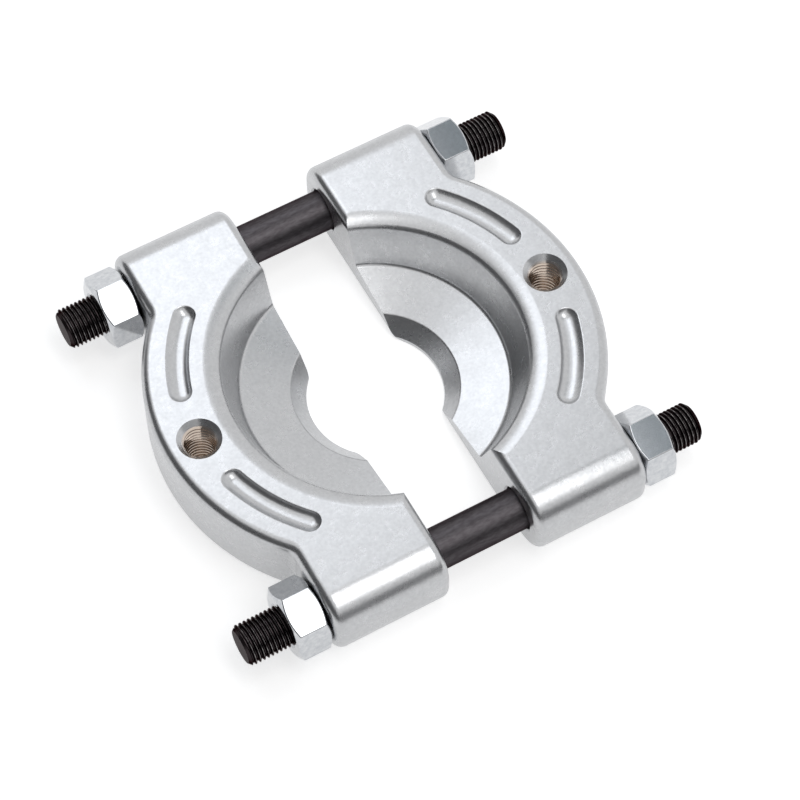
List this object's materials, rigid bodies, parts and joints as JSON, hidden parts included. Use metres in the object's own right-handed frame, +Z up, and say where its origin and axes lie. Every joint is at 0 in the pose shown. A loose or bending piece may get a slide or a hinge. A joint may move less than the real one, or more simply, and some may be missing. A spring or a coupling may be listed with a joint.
{
  "type": "bearing separator",
  "caption": "Bearing separator: two half-ring jaws with a knife-edged bore slide on two studs and are drawn together by hex nuts.",
  "frame": {"origin": "middle of the assembly, on the plane of the jaws' flat undersides", "axes": "+X along the studs to the right jaw, +Y to the back stud, +Z up out of the recess"},
  "size_m": [0.142, 0.1334, 0.023],
  "materials": {
    "plated_steel": "satin plating over a cast surface",
    "black_steel": "black oxide",
    "zinc_steel": "zinc plated"
  },
  "bodies": {
    "studs": {"stud_front": "black_steel", "stud_back": "black_steel"},
    "right_jaw": {"jaw_right": "plated_steel"},
    "left_jaw": {"jaw_left": "plated_steel"},
    "right_front_nut": {"nut_right_front": "zinc_steel"},
    "right_back_nut": {"nut_right_back": "zinc_steel"},
    "left_front_nut": {"nut_left_front": "zinc_steel"},
    "left_back_nut": {"nut_left_back": "zinc_steel"}
  },
  "joints": [
    {"name": "jaw_right_slide", "type": "slide", "parent": "studs", "child": "right_jaw", "axis": [1, 0, 0], "range_m": [-0.0131, 0.009]},
    {"name": "jaw_left_slide", "type": "slide", "parent": "studs", "child": "left_jaw", "axis": [-1, 0, 0], "range_m": [-0.0131, 0.009]},
    {"name": "nut_right_front_turn", "type": "hinge", "parent": "right_jaw", "child": "right_front_nut", "pos_m": [0.0533, -0.055, 0.0115], "axis": [1, 0, 0], "range_deg": [-3780, 2600]},
    {"name": "nut_right_back_turn", "type": "hinge", "parent": "right_jaw", "child": "right_back_nut", "pos_m": [0.0533, 0.055, 0.0115], "axis": [1, 0, 0], "range_deg": [-3780, 2600]},
    {"name": "nut_left_front_turn", "type": "hinge", "parent": "left_jaw", "child": "left_front_nut", "pos_m": [-0.0533, -0.055, 0.0115], "axis": [-1, 0, 0], "range_deg": [-3780, 2600]},
    {"name": "nut_left_back_turn", "type": "hinge", "parent": "left_jaw", "child": "left_back_nut", "pos_m": [-0.0533, 0.055, 0.0115], "axis": [-1, 0, 0], "range_deg": [-3780, 2600]}
  ],
  "couplings": [
    {"joint": "nut_right_front_turn", "follows": "jaw_right_slide", "rad_per_m": 5026.5},
    {"joint": "nut_right_back_turn", "follows": "jaw_right_slide", "rad_per_m": 5026.5},
    {"joint": "nut_left_front_turn", "follows": "jaw_left_slide", "rad_per_m": 5026.5},
    {"joint": "nut_left_back_turn", "follows": "jaw_left_slide", "rad_per_m": 5026.5}
  ]
}
